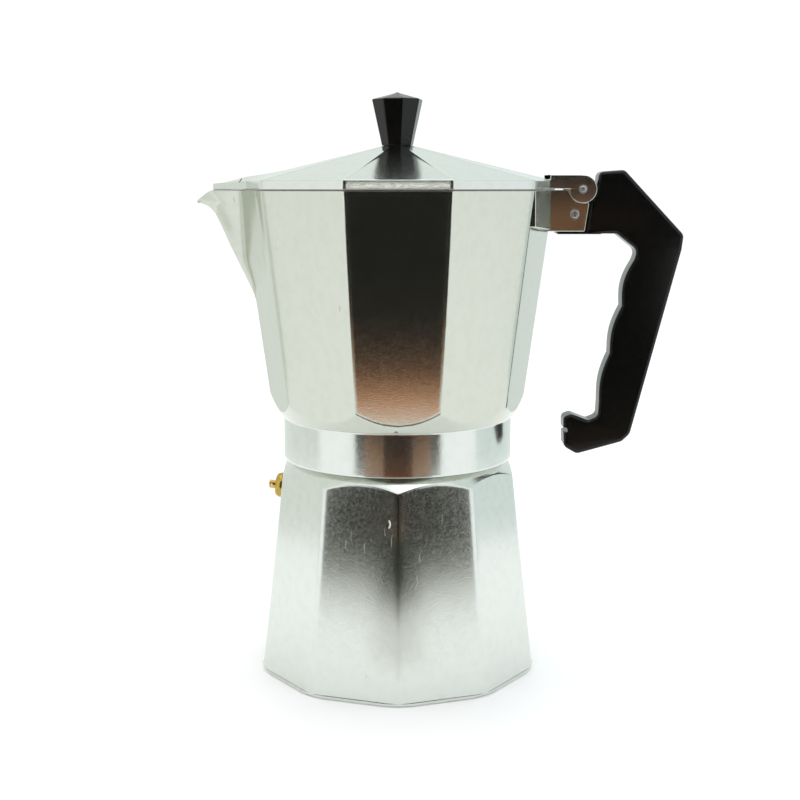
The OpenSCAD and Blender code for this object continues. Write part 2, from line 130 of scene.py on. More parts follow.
def around(sides, first_corner, dense=None):
    """Angles round the pot, close together at the corners and, if asked, round the spout."""
    steps = [0, 0.14, 0.32, 0.55, 0.85, 1.3, 2.1, 3.5, 5.5, 8.5, 12]
    half = 180 / sides
    found = set()
    for k in range(sides):
        corner = first_corner + 2 * half * k
        for s in [s for s in steps if s < half] + [half]:
            found.add(round((corner + s) % 360, 3))
            found.add(round((corner - s) % 360, 3))
    if dense:
        middle, inner, outer = dense
        found = {a for a in found if abs((a - middle + 180) % 360 - 180) > outer}
        for i in range(int(outer * 4) + 1):
            a = i / 4
            if a <= inner or a == int(a):
                found.add(round((middle + a) % 360, 3))
                found.add(round((middle - a) % 360, 3))
    return np.radians(np.array(sorted(found)))


def make_object(name, points, faces):
    mesh = bpy.data.meshes.new(name)
    mesh.from_pydata([tuple(Vector(p) * MM + ORIGIN) for p in points], [], faces)
    mesh.validate()
    mesh.shade_smooth()
    obj = bpy.data.objects.new(name, mesh)
    bpy.context.scene.collection.objects.link(obj)
    return obj


def loft(name, theta, rows, ring=False):
    """A closed surface from rows of (radius, height) round the Z axis.

    With ring the last row joins the first, and without it both end rows close on the axis.
    """
    n = len(theta)
    points, faces = [], []
    for r, z in rows:
        r, z = r + 0 * theta, z + 0 * theta
        points += list(np.stack([r * np.cos(theta), r * np.sin(theta), z], 1))
    count = len(rows)
    for i in range(count if ring else count - 1):
        a, b = i * n, ((i + 1) % count) * n
        faces += [(a + j, a + (j + 1) % n, b + (j + 1) % n, b + j) for j in range(n)]
    if not ring:
        for row, turn in ((0, -1), (count - 1, 1)):
            z = float(np.mean(points[row * n][2]))
            points.append((0, 0, z))
            fan = [(row * n + j, row * n + (j + 1) % n, len(points) - 1) for j in range(n)]
            faces += fan if turn > 0 else [f[::-1] for f in fan]
    return make_object(name, points, faces)


def rounded(profile, steps=4):
    """The points of a profile, with a corner rounded where its third number gives a rounding."""
    out = []
    last = len(profile) - 1
    for i, p in enumerate(profile):
        here = np.array(p[:2], float)
        if len(p) < 3 or i in (0, last):
            out.append(here)
            continue
        u = np.array(profile[i - 1][:2], float) - here
        v = np.array(profile[i + 1][:2], float) - here
        u, v = u / np.linalg.norm(u), v / np.linalg.norm(v)
        a, b = here + u * p[2], here + v * p[2]
        for k in range(steps + 1):
            t = k / steps
            out.append(a * (1 - t) ** 2 + 2 * here * t * (1 - t) + b * t * t)
    return out


def turned(name, profile, segments=128, ring=False, place=None):
    """A solid of revolution, about Z or about the axis that place gives."""
    theta = np.linspace(0, 2 * math.pi, segments, endpoint=False)
    rows = [(np.full(segments, r), np.full(segments, z)) for r, z in rounded(profile)]
    obj = loft(name, theta, rows, ring)
    if place:
        obj.data.transform(Matrix.Translation(-ORIGIN))
        obj.data.transform(place)
        obj.data.transform(Matrix.Translation(ORIGIN))
    return obj


def plate(name, outline, y0, y1, bevel, holes=()):
    """An outline in X and Z, given thickness from y0 to y1, with rounded edges."""
    curve = bpy.data.curves.new(name, "CURVE")
    curve.dimensions = "2D"
    curve.fill_mode = "BOTH"
    curve.extrude = ((y1 - y0) / 2 - bevel) * MM
    curve.bevel_depth = bevel * MM
    curve.offset = -bevel * MM
    curve.bevel_resolution = 3
    for loop in [outline, *holes]:
        spline = curve.splines.new("POLY")
        spline.points.add(len(loop) - 1)
        for point, (x, z) in zip(spline.points, loop):
            point.co = (x * MM, z * MM, 0, 1)
        spline.use_cyclic_u = True
    holder = bpy.data.objects.new(name, curve)
    bpy.context.scene.collection.objects.link(holder)
    bpy.context.view_layer.update()
    mesh = bpy.data.meshes.new_from_object(holder.evaluated_get(bpy.context.evaluated_depsgraph_get()))
    bpy.data.objects.remove(holder)
    bpy.data.curves.remove(curve)
    turn = Matrix.Rotation(math.radians(90), 4, "X")
    mesh.transform(Matrix.Translation(ORIGIN + Vector((0, (y0 + y1) / 2 * MM, 0))) @ turn)
    mesh.name = name
    weld(mesh)
    obj = bpy.data.objects.new(name, mesh)
    bpy.context.scene.collection.objects.link(obj)
    return obj


def weld(mesh):
    """Joins points that lie together and turns the faces outwards."""
    bm = bmesh.new()
    bm.from_mesh(mesh)
    bmesh.ops.remove_doubles(bm, verts=bm.verts, dist=0.004 * MM)
    bmesh.ops.recalc_face_normals(bm, faces=bm.faces)
    bm.to_mesh(mesh)
    bm.free()


def joined(name, parts):
    """Several meshes as one object."""
    with bpy.context.temp_override(active_object=parts[0], selected_editable_objects=parts):
        bpy.ops.object.join()
    parts[0].name = name
    parts[0].data.name = name
    return parts[0]


def carved(obj, cutter, operation="DIFFERENCE"):
    """Cuts one mesh with another and drops the cutter."""
    modifier = obj.modifiers.new("cut", "BOOLEAN")
    modifier.object = cutter
    modifier.operation = operation
    modifier.solver = "EXACT"
    bpy.context.view_layer.update()
    mesh = bpy.data.meshes.new_from_object(obj.evaluated_get(bpy.context.evaluated_depsgraph_get()))
    obj.modifiers.clear()
    obj.data = mesh
    bpy.data.objects.remove(cutter)
    return obj


def sharpen(obj, degrees):
    """Smooth shading with edges over an angle left sharp."""
    obj.data.shade_smooth()
    obj.data.set_sharp_from_angle(angle=math.radians(degrees))
    return obj


def arc(cx, cz, r, start, end, steps):
    return [
        (cx + r * math.cos(math.radians(a)), cz + r * math.sin(math.radians(a)))
        for a in np.linspace(start, end, steps + 1)
    ]


def rounded_loop(corners, steps=6):
    """A closed outline of (x, z, radius) corners, each rounded by an arc."""
    out = []
    for i, (x, z, r) in enumerate(corners):
        here = Vector((x, z))
        if r < 0.05:
            out.append((x, z))
            continue
        u = (Vector(corners[i - 1][:2]) - here).normalized()
        v = (Vector(corners[(i + 1) % len(corners)][:2]) - here).normalized()
        half = u.angle(v) / 2
        centre = here + (u + v).normalized() * r / math.sin(half)
        start = here + u * r / math.tan(half) - centre
        turn = math.pi - 2 * half
        if u.x * v.y - u.y * v.x > 0:
            turn = -turn
        for k in range(steps + 1):
            a = turn * k / steps
            c, s = math.cos(a), math.sin(a)
            out.append((centre.x + start.x * c - start.y * s, centre.y + start.x * s + start.y * c))
    return out


def thread(theta, z, start, stop, phase):
    """Height of a helical thread's ridge, from 0 to 1, faded out at both ends."""
    turn = np.cos(2 * math.pi * ((z - start) / THREAD_PITCH - phase) - theta)
    fade = smoothstep((z - start) / 1.2) * smoothstep((stop - z) / 1.2)
    return np.clip(0.5 + 1.1 * turn, 0, 1) * fade


# ---------------------------------------------------------------- boiler
def boiler_body():
    theta = around(10, 18)
    unit = polygon_radius(theta, 10, 0, 170) * EDGE_COS
    zero = 0 * theta
    rows = [(zero + r, zero + z) for r, z in rounded([
        (0.4, -FOOT), (30, -FOOT), (46.5, -FOOT, 0.25), (46.6, 0.6 - FOOT, 0.2),
        (48.9, 0.6 - FOOT, 0.2), (49, -FOOT, 0.25), (52, -FOOT)])]
    foot = BOILER_FOOT
    rim = soft_min(FOOT_CORNER_R * unit, zero + FOOT_R, 500)
    for inset, z in ((1.6, -1.5), (1.1, -1.5), (0.85, -1.47), (0.55, -1.36), (0.3, -1.18),
                     (0.12, -0.93), (0.03, -0.7), (0, -0.45), (0, -0.2), (0.02, 0)):
        rows.append((rim - inset, zero + z))
    rows.append((np.minimum(foot * unit - 0.02, rim - 0.3), zero + 0.03))
    rows.append((np.minimum(foot * unit - 0.02, rim + 0.5), zero + 0.25))
    crease = (CONE_START - foot * unit) / (CONE_SLOPE - BOILER_SLOPE * unit)

    def outside(z):
        facet = (foot - BOILER_SLOPE * z) * unit
        return soft_min(facet, CONE_START - CONE_SLOPE * z, 380)

    near = [-1.6, -1, -0.6, -0.35, -0.18, -0.06, 0.06, 0.18, 0.35, 0.6, 1, 1.6]
    for t in np.linspace(0, 1, 15):
        z = 0.6 + (crease - 1.9 - 0.6) * t
        rows.append((outside(z), z))
    for d in near:
        rows.append((outside(crease + d), crease + d))
    for t in (0.5, 1):
        z = (crease + 1.6) * (1 - t) + (SHOULDER_TOP - 0.6) * t
        rows.append((outside(z), z))
    top = CONE_START - CONE_SLOPE * (SHOULDER_TOP - 0.6)
    for inset, down in ((0.2, 0.38), (0.42, 0.18), (0.7, 0.06), (1.1, 0)):
        rows.append((zero + top - inset, zero + SHOULDER_TOP - down))
    for outset, up in ((0.5, 0), (0.15, 0.1), (0, 0.4)):
        rows.append((zero + NECK_R + outset, zero + SHOULDER_TOP + up))
    for z in np.arange(92.4, NECK_TOP - 0.6, 0.24):
        rows.append((NECK_R + thread(theta, z, 92.6, NECK_TOP - 0.7, 0), zero + z))
    for r, z in rounded([
            (NECK_R, NECK_TOP - 0.6), (NECK_R, NECK_TOP, 0.4), (40.5, NECK_TOP, 0.4), (40.5, 89.5, 1.5),
            (47, 84, 2), (55.2, 8, 3), (54, 4, 1.5), (48, 4), (0.4, 4)]):
        rows.append((zero + r, zero + z))
    return loft("boiler_body", theta, rows)


# ---------------------------------------------------------------- collector
def lip_keel(z):
    """Distance of the pouring lip's front edge from the pot's axis."""
    return np.interp(z, [199.2, 200.8, 202.2, 203.1, 203.5], [79.4, 80.9, 82.7, 84.9, 87])


def lip_top(x):
    """Height of the lip's upper edge at a distance x from the pot's axis."""
    return np.interp(x, [79.4, 81, 82.6, 87], [RIM, RIM - 0.3, 207.7, 204.3])


def spout_outline(theta, z, inset):
    """Radius of the collector with its spout, where inset leaves the wall's thickness."""
    phi = np.abs(angle_from(theta, math.pi))
    corner = COLLECTOR_FOOT + COLLECTOR_SLOPE * (z - 111)
    unit = polygon_radius(theta, 10, math.radians(18), 190)
    body = (corner * EDGE_COS - inset) * unit
    # shallow flare on both sides of the spout
    alpha = math.radians(67.7)
    keel = corner + 2.6 * smoothstep((z - 163) / 18) - inset / math.sin(alpha)
    flare = keel * math.sin(alpha) / np.sin(alpha + np.minimum(phi, 0.62))
    flare = flare * (1 - 0.06 * smoothstep((phi - 0.46) / 0.14))
    # steep sides that meet in the keel
    alpha = math.radians(31.1)
    keel = 63.4 + (z - 165.7) * 0.4776 - 0.88 * inset / math.sin(alpha)
    steep = keel * math.sin(alpha) / np.sin(alpha + np.minimum(phi, 1.0))
    steep = steep * (1 - 0.4 * smoothstep((phi - 0.7) / 0.4))
    out = soft_max(soft_max(body, flare, 260), np.maximum(steep, 1), 170)
    # pouring lip
    alpha = math.radians(15 - 1.4 * inset)
    level = z - 0.5 * inset
    keel = np.where(level > 199.2, lip_keel(np.maximum(level, 199.2)) - 0.75 * inset, 1)
    lip = keel * math.sin(alpha) / np.sin(alpha + np.minimum(phi, 0.9))
    rounding = 0.36 * np.exp(-((phi / 0.035) ** 2)) * smoothstep((z - 184) / 10)
    return np.maximum(soft_max(out, np.maximum(lip, 1), 240) - rounding, 1)


def rim_height(theta):
    """Height of the collector's upper edge, which falls along the lip."""
    phi = angle_from(theta, math.pi)
    low, high = 0 * theta + 203.6, 0 * theta + RIM
    for _ in range(30):
        middle = (low + high) / 2
        x = spout_outline(theta, middle, 0) * np.cos(phi)
        over = np.where(x > 79.4, lip_top(np.minimum(x, 87)) < middle, False)
        high = np.where(over, middle, high)
        low = np.where(over, low, middle)
    return high


def collector_body():
    theta = around(10, 0, (180, 20, 36))
    zero = 0 * theta
    unit = polygon_radius(theta, 10, math.radians(18), 190) * EDGE_COS
    foot, slope = COLLECTOR_FOOT, COLLECTOR_SLOPE
    rows = [(zero + r, zero + z) for r, z in rounded([
        (46.6, BAND_LOW), (BAND_R, BAND_LOW, 0.55), (BAND_R, 93.4), (BAND_R, 100), (BAND_R, 110.2),
        (BAND_R, 110.6), (BAND_R + 0.1, 110.85, 0.1), (50.75, 111.05, 0.15), (51, 111.3)])]
    flare_start, flare_slope = 50.9, 0.62
    crease = 111 + (flare_start - foot * unit) / (slope * unit - flare_slope)

    def outside(z):
        cone = flare_start + flare_slope * (z - 111)
        return soft_min(spout_outline(theta, z, 0), cone, 330)

    for t in (0.35, 0.75):
        z = 111.3 + (crease - 0.9 - 111.3) * t
        rows.append((outside(z), z))
    for d in (-0.9, -0.5, -0.25, -0.1, 0.02, 0.14, 0.3, 0.55, 1, 1.8):
        rows.append((outside(crease + d), crease + d))
    for t in np.linspace(0.06, 1, 9):
        z = (crease + 1.8) * (1 - t) + 156 * t
        rows.append((outside(z), z))
    for z in np.arange(157.5, 199, 1.5):
        rows.append((outside(z), zero + z))
    top = rim_height(theta)
    for t in np.linspace(0, 1, 22):
        z = 199 + (top - 1.1 - 199) * t
        rows.append((outside(z), z))
    outer = spout_outline(theta, top, 0)
    inner = np.minimum(spout_outline(theta, top, WALL), outer - 2.1)
    for down, back in ((0.7, 0), (0.4, 0.01), (0.22, 0.04), (0.09, 0.12), (0.02, 0.26), (0, 0.45)):
        rows.append((np.minimum(spout_outline(theta, top - down, 0), outer) - back, top - down))
    for t in (0.25, 0.5, 0.75):
        rows.append((outer * (1 - t) + inner * t, top + 0 * t))
    for down, back in ((0, 0.4), (0.05, 0.2), (0.2, 0.05), (0.45, 0)):
        rows.append((np.minimum(spout_outline(theta, top - down, WALL), inner) + back, top - down))

    def inside(z):
        cone = 49.6 + 0.538 * (z - 116.8)
        return soft_min(spout_outline(theta, z, WALL), cone, 110)

    for t in np.linspace(0.05, 1, 18):
        z = (top - 0.45) * (1 - t) + 196 * t
        rows.append((np.minimum(inside(z), outer - 2), z))
    for z in list(np.arange(193.5, 156, -2.5)) + [150, 143, 136, 130, 125, 121, 118.5, 117.2]:
        rows.append((inside(z), zero + z))
    floor = inside(116.6)
    for t, z in ((0, 116.6), (0.8, 115.9), (2, 115.35), (4, 115.05), (6, 115)):
        rows.append((floor - t, zero + z))
    rows += [(zero + r, zero + z) for r, z in rounded([
        (30, 115), (7.05, 115, 0.3), (7.05, 112.2, 0.3), (20, 111.8), (37.6, 111, 1), (37.6, 108.4, 0.3),
        (43.9, 108.4, 0.4), (43.9, 104.9, 0.3), (THREAD_HOLE_R, 104.9, 0.3), (THREAD_HOLE_R, 104.4)])]
    for z in np.arange(104.2, BAND_LOW + 0.5, -0.24):
        ridge = thread(theta, z, BAND_LOW + 0.6, 104.2, 0.5 - 0.3 / THREAD_PITCH)
        rows.append((THREAD_HOLE_R - 1.1 * ridge, zero + z))
    for outset, up in ((0.05, 0.4), (0.25, 0.1), (0.45, 0)):
        rows.append((zero + THREAD_HOLE_R + outset, zero + BAND_LOW + up))
    return loft("collector_body", theta, rows, ring=True)


def pad_slab(side):
    """Thickened facet beside the handle's corner, with an upright face flush with the rim."""
    normal = math.radians(18 * side)
    across = Vector((-math.sin(normal), math.cos(normal), 0)) * side
    out = Vector((math.cos(normal), math.sin(normal), 0))
    face = PAD_CORNER * EDGE_COS
    half = PAD_CORNER * math.sin(math.radians(18))
    low, far = 191.3, half - 0.9
    front = [(-half, low), (far - 1.2, low + 2.6), (far, RIM), (-half, RIM)]
    back = [(-half, low, 61.4), (far - 1.2, low + 2.6, 61.8), (far, RIM, 63.4), (-half, RIM, 63.4)]
    points = [out * face + across * t + Vector((0, 0, z)) for t, z in front]
    points += [out * depth + across * t + Vector((0, 0, z)) for t, z, depth in back]
    faces = [(0, 1, 2, 3), (7, 6, 5, 4), (0, 4, 5, 1), (1, 5, 6, 2), (2, 6, 7, 3), (3, 7, 4, 0)]
    if side < 0:
        faces = [f[::-1] for f in faces]
    obj = make_object("pad", points, faces)
    modifier = obj.modifiers.new("bevel", "BEVEL")
    modifier.width = 0.45 * MM
    modifier.segments = 4
    modifier.limit_method = "NONE"
    bpy.context.view_layer.update()
    obj.data = bpy.data.meshes.new_from_object(obj.evaluated_get(bpy.context.evaluated_depsgraph_get()))
    obj.modifiers.clear()
    return obj


def cheek(side):
    """One side of the lug, with the eye for the hinge pin."""
    x, z = HINGE.x, HINGE.z
    low = 191.3
    outline = rounded_loop([(63, low, 0.4), (80.1, low, 0.7), (82, 204.6, 0.8)], 4)
    outline += arc(x, z, 3.9, -12, 192, 20)
    outline += [(x - 3.9, RIM), (63, RIM)]
    y0, y1 = sorted((5.6 * side, 9.4 * side))
    holes = [arc(x, z, 1.55, 360, 15, 23), arc(HANDLE_PIN.x, HANDLE_PIN.z, 1.85, 360, 15, 23)]
    return plate("cheek", outline, y0, y1, 0.35, holes)


# ---------------------------------------------------------------- lid
def lid_height(x, y, norm):
    """Height of the lid's upper surface: a ten-sided pyramid with a raised beak towards the spout."""
    pyramid = 212.6 + LID_RISE * (LID_CORNER - norm)
    from_ridge = np.abs((np.arctan2(y, x) + math.pi / 10) % (math.pi / 5) - math.pi / 10) * np.hypot(x, y)
    away_from_beak = np.abs(np.arctan2(y, -x)) > 0.3
    pyramid = pyramid + 0.16 * np.exp(-((from_ridge / 0.55) ** 2)) * away_from_beak
    pyramid = np.where(norm > LID_CORNER, 212.6 - 0.1 * (norm - LID_CORNER), pyramid)
    along = -x
    ridge = np.interp(along, [40, 48.8, 58.6, 64.7, 67, 69.7, 73.7, 77.3, 79.5],
                      [218.3, 216.9, 215.4, 214.6, 214.1, 213.4, 212.3, 211.2, 210.6])
    half = np.interp(along, [40, 56, 66, 79.5], [9.5, 11, 10.8, 3.6])
    edge = np.interp(along, [40, 56, 66, 79.5], [214, 212.6, 212.2, 210.4])
    beak = ridge - (ridge - edge) * (np.abs(y) / half) ** 1.15
    beak = np.where(along > 36, beak, 0)
    return soft_max(pyramid, np.maximum(beak, 1), 900)


def lid_outline(theta, inset):
    """Radius of the lid with its beak, where inset leaves the wall's thickness."""
    unit = polygon_radius(theta, 10, math.radians(18), 190)
    body = (LID_CORNER * EDGE_COS - inset) * unit
    phi = np.abs(angle_from(theta, math.pi))
    alpha = math.radians(38.9)
    keel = 80.6 - inset / math.sin(alpha)
    beak = keel * math.sin(alpha) / np.sin(alpha + np.minimum(phi, 0.8))
    beak = beak * (1 - 0.3 * smoothstep((phi - 0.45) / 0.3))
    out = soft_max(body, np.maximum(beak, 1), 200)
    # blunt front end of the beak
    return np.where(phi < 0.5, soft_min(out, (79.6 - inset) / np.cos(np.minimum(phi, 0.5)), 400), out)


def lid_body():
    theta = around(10, 0, (180, 18, 24))
    zero = 0 * theta
    unit = polygon_radius(theta, 10, math.radians(18), 190) * EDGE_COS
    outer = lid_outline(theta, 0)
    low = LID_LOW

    def height(r):
        return lid_height(r * np.cos(theta), r * np.sin(theta), r / unit)

    seat = local_box("knob")[0].z
    rows = [(zero + 2.15, zero + 224.3), (zero + 2.15, zero + seat - 0.2), (zero + 2.4, zero + seat)]
    for r, z in ((5, seat), (5.3, seat - 0.08), (5.4, seat - 0.3), (5.45, seat - 0.7), (6, 227.45)):
        rows.append((zero + r, zero + z))
    for share in list(np.linspace(0.1, 0.5, 7)) + list(np.linspace(0.53, 0.975, 24)):
        r = 6.5 + (outer - 6.5) * (share - 0.1) / 0.9
        rows.append((r, height(r)))
    edge = height(outer * 0.985)
    for down, back in ((0, 0.45), (0.06, 0.2), (0.2, 0.06), (0.45, 0)):
        rows.append((outer - back, edge - down))
    for down, back in ((0.35, 0), (0.12, 0.07), (0.03, 0.2), (0, 0.4)):
        rows.append((outer - back, low + down))
    inner = lid_outline(theta, 2)
    roof = height(inner * 0.98) - 2
    roof = np.maximum(roof, low + 0.6)
    rows += [(inner + 0.25, zero + low), (inner + 0.05, zero + low + 0.15), (inner, zero + low + 0.4),
             (inner - 0.3, roof)]
    for share in np.linspace(0.95, 0.1, 22):
        r = 8 + (inner - 8) * (share - 0.1) / 0.9
        rows.append((r, np.maximum(height(r) - 2, low + 0.6)))
    rows += [(zero + 7.4, zero + 224.4), (zero + 6.4, zero + 224.2), (zero + 2.4, zero + 224.2)]
    return loft("lid_body", theta, rows[::-1], ring=True)


def lid_hinge():
    """The two ears round the hinge pin, and the web that joins them to the lid."""
    x, z, top = HINGE.x, HINGE.z, HINGE.z + 6
    left = 64.8
    ear = [(left - 3, LID_LOW + 0.6), (x - 5.6, LID_LOW + 0.3)]
    ear += arc(x, z, 5.9, 184, 450, 34)
    ear += [(x - 1, top), (left, top), (left, 213.2), (left - 3, 213.2)]
    hole = [arc(x, z, 1.62, 360, 15, 23)]
    parts = [plate("ear", ear, 9.75, 11.7, 0.3, hole), plate("ear", ear, -11.7, -9.75, 0.3, hole)]
    web = [(left, top), (left, top - 1.8), (x + 1.6, top - 1.8), (x + 1.9, top - 0.9), (x + 0.6, top)]
    parts.append(plate("web", web, -11.4, 11.4, 0.3))
    foot = [(left - 6, LID_LOW + 0.6), (67.2, LID_LOW + 0.6), (67.2, top), (left, top), (left, 213.2),
            (left - 6, 213.2)]
    parts.append(plate("foot", foot, -11.4, 11.4, 0.3))
    return parts


# ---------------------------------------------------------------- knob and handle
def knob_body():
    """The knob, hollowed under its middle where it sits over the lid's boss."""
    low, top = local_box("knob")[0].z - 0.75, KNOB_TOP
    shoulder = top - 3.2
    first = math.radians(11.25)
    theta = around(8, 11.25)
    unit = polygon_radius(theta, 8, first + math.pi / 8, 90) * math.cos(math.pi / 8)
    zero = 0 * theta
    widest = local_box("knob")[1].y / math.cos(math.radians(11.25))
    rows = [(zero + 1.2, zero + low + 13), (zero + 2.05, zero + low + 12.9), (zero + 2.05, zero + low + 1),
            (zero + 2.3, zero + low + 0.78), (zero + 5.52, zero + low + 0.78),
            (zero + 5.56, zero + low + 0.15), (zero + 5.66, zero + low + 0.03),
            (6.3 * unit, zero + low + 0.03), (6.65 * unit, zero + low + 0.08),
            (6.85 * unit, zero + low + 0.35)]
    for t in np.linspace(0.06, 0.96, 12):
        rows.append(((6.8 + (widest - 6.8) * t) * unit, zero + low + (shoulder - low) * t))
    for back, up in ((0.08, -0.35), (0.02, -0.1), (0.08, 0.12), (0.3, 0.3), (0.7, 0.46)):
        rows.append(((widest - back) * unit, zero + shoulder + up))
    for t in (0.3, 0.55, 0.75, 0.88):
        r = (widest - 0.7) * (1 - t)
        z = shoulder + 0.46 + (top - shoulder - 0.5) * t
        rows.append((r * (unit * (1 - t * 0.5) + t * 0.5), zero + z))
    rows.append((zero + 0.5, zero + top - 0.02))
    return loft("knob_body", theta, rows)


def grip_bump(a, b, height, steps=10):
    """Sharp-cornered outline points of one finger bump between two points."""
    a, b = Vector(a), Vector(b)
    d = (b - a).normalized()
    side = Vector((-d.y, d.x))
    out = []
    for i in range(steps + 1):
        point = a + (b - a) * i / steps + side * height * math.sin(math.pi * i / steps)
        out.append((point.x, point.y, 0))
    return out


def handle_body():
    corners = [
        (86.6, 216.6, 2.3), (97.4, 217.4, 3), (123.7, 189.7, 3), (123, 183.4, 3), (102.8, 102.2, 5),
        (99.2, 98.8, 3), (79.4, 93.3, 3), (73.6, 96.6, 3), (73.1, 110, 2.3), (76.8, 111.3, 2.3),
        (84.2, 108.4, 2), (88.4, 110.2, 2.4)]
    valleys = [(88.7, 116.6), (92.9, 138.2), (97.7, 159), (102.5, 179)]
    for a, b, height in zip(valleys, valleys[1:], (1.5, 1.6, 2)):
        bump = grip_bump(a, b, height)
        corners += bump if b == valleys[-1] else bump[:-1]
    corners += [(103.8, 183, 3.5), (94.6, 190.2, 3), (80.9, 190.2, 0.5), (82.95, 204.4, 0.3)]
    recess = [(x, z, 0) for x, z in arc(HINGE.x, HINGE.z, 6.45, -44, -10, 8)]
    outline = rounded_loop(corners + recess, 7)
    grip = plate("handle_grip", outline, -HANDLE_HALF, HANDLE_HALF, GRIP_BEVEL)
    notch = turned("notch", [(0.01, -15), (1.15, -15), (1.15, 15), (0.01, 15)], 32,
                   place=Matrix.Translation((74 * MM, 0, 104.2 * MM)) @ Matrix.Rotation(math.pi / 2, 4, "X"))
    grip = carved(grip, notch)
    x, z = HANDLE_PIN.x, HANDLE_PIN.z
    tongue = rounded_loop([(68.6, 190, 0.8), (88, 190, 0.5), (88, 205.2, 0.5), (69.9, 205.2, 1)], 4)
    tongue = plate("handle_tongue", tongue, -5.35, 5.35, 0.4, [arc(x, z, 1.85, 360, 15, 23)])
    body = joined("handle_body", [grip, tongue])
    return sharpen(body, 32)


# ---------------------------------------------------------------- small turned pieces
def across_y(x, z):
    return Matrix.Translation((x * MM, 0, z * MM)) @ Matrix.Rotation(math.pi / 2, 4, "X")


def rivet(name, centre, r, half, head):
    return turned(name, [
        (0.02, -half - head), (r * 0.8, -half - head * 0.8, 0.3), (r, -half + 0.3, 0.3), (r, half - 0.3, 0.3),
        (r * 0.8, half + head * 0.8, 0.3), (0.02, half + head)], 40, place=across_y(centre.x, centre.z))


def valve_frame():
    """The valve's own axes: Z points out of the boiler's flat."""
    axis = next(j for j in frame["joints"] if j["name"] == "valve_pull")["axis"]
    out = Vector(axis).normalized()
    side = Vector((0, 1, 0))
    up = out.cross(side)
    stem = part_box("valve_stem")
    height = 78.2
    x = -(BOILER_FOOT - BOILER_SLOPE * height) * EDGE_COS
    m = Matrix((side, up, out)).transposed().to_4x4()
    m.translation = Vector((x * MM, (stem[0].y + stem[1].y) / 2 - ORIGIN.y, height * MM))
    return m


def spring_coil(place, z0, z1, radius, wire, turns):
    per_turn, sides = 36, 10
    count = turns * per_turn
    points, faces = [], []
    for i in range(count + 1):
        a = 2 * math.pi * i / per_turn
        t = i / count
        z = z0 + (z1 - z0) * t
        for k in range(sides):
            b = 2 * math.pi * k / sides
            r = radius + wire * math.cos(b)
            points.append(Vector((r * math.cos(a), r * math.sin(a), z + wire * math.sin(b))))
    for i in range(count):
        for k in range(sides):
            n = (k + 1) % sides
            faces.append((i * sides + k, (i + 1) * sides + k, (i + 1) * sides + n, i * sides + n))
    faces += [tuple(range(sides)), tuple(range(count * sides + sides - 1, count * sides - 1, -1))]
    scaled = [(place @ (p * MM)) / MM for p in points]
    return make_object("valve_spring_coil", scaled, faces)


# ---------------------------------------------------------------- materials
class Surface:
    """A principled material whose colour, roughness and relief come from procedural noise."""

    def __init__(self, name, metallic, coat=0.0):
        self.material = bpy.data.materials.new(name)
        self.material.use_nodes = True
        self.tree = self.material.node_tree
        self.shader = self.tree.nodes["Principled BSDF"]
        self.shader.inputs["Metallic"].default_value = metallic
        self.shader.inputs["Coat Weight"].default_value = coat
        self.coords = self.tree.nodes.new("ShaderNodeTexCoord")
        self.normal = None

    def noise(self, scale, detail=3, stretch=(1, 1, 1), seed=0):
        mapping = self.tree.nodes.new("ShaderNodeMapping")
        mapping.inputs["Scale"].default_value = stretch
        mapping.inputs["Location"].default_value = (seed, seed * 0.7, seed * 1.3)
        node = self.tree.nodes.new("ShaderNodeTexNoise")
        node.inputs["Scale"].default_value = scale
        node.inputs["Detail"].default_value = detail
        self.tree.links.new(self.coords.outputs["Object"], mapping.inputs["Vector"])
        self.tree.links.new(mapping.outputs["Vector"], node.inputs["Vector"])
        return node.outputs["Fac"]

    def ramp(self, source, stops):
        node = self.tree.nodes.new("ShaderNodeValToRGB")
        elements = node.color_ramp.elements
        while len(elements) < len(stops):
            elements.new(0.5)
        for element, (at, colour) in zip(elements, stops):
            element.position = at
            element.color = (*colour, 1) if len(colour) == 3 else colour
        self.tree.links.new(source, node.inputs["Fac"])
        return node.outputs["Color"]

    def nicks(self):
        """Sparse little dents, lengthened along the height."""
        mapping = self.tree.nodes.new("ShaderNodeMapping")
        mapping.inputs["Scale"].default_value = (1.0, 1.0, 0.5)
        cells = self.tree.nodes.new("ShaderNodeTexVoronoi")
        cells.inputs["Scale"].default_value = 62
        self.tree.links.new(self.coords.outputs["Object"], mapping.inputs["Vector"])
        self.tree.links.new(mapping.outputs["Vector"], cells.inputs["Vector"])
        return self.ramp(cells.outputs["Distance"], [(0.03, (0, 0, 0)), (0.06, (1, 1, 1))])

    def spread(self, source, low, high, into, source_low=0.3, source_high=0.7):
        node = self.tree.nodes.new("ShaderNodeMapRange")
        node.inputs["From Min"].default_value = source_low
        node.inputs["From Max"].default_value = source_high
        node.inputs["To Min"].default_value = low
        node.inputs["To Max"].default_value = high
        self.tree.links.new(source, node.inputs["Value"])
        self.tree.links.new(node.outputs["Result"], self.shader.inputs[into])

    def colour(self, source, stops):
        self.tree.links.new(self.ramp(source, stops), self.shader.inputs["Base Color"])

    def relief(self, source, strength, distance):
        node = self.tree.nodes.new("ShaderNodeBump")
        node.inputs["Strength"].default_value = strength
        node.inputs["Distance"].default_value = distance
        self.tree.links.new(source, node.inputs["Height"])
        if self.normal:
            self.tree.links.new(self.normal, node.inputs["Normal"])
        self.normal = node.outputs["Normal"]
        self.tree.links.new(self.normal, self.shader.inputs["Normal"])


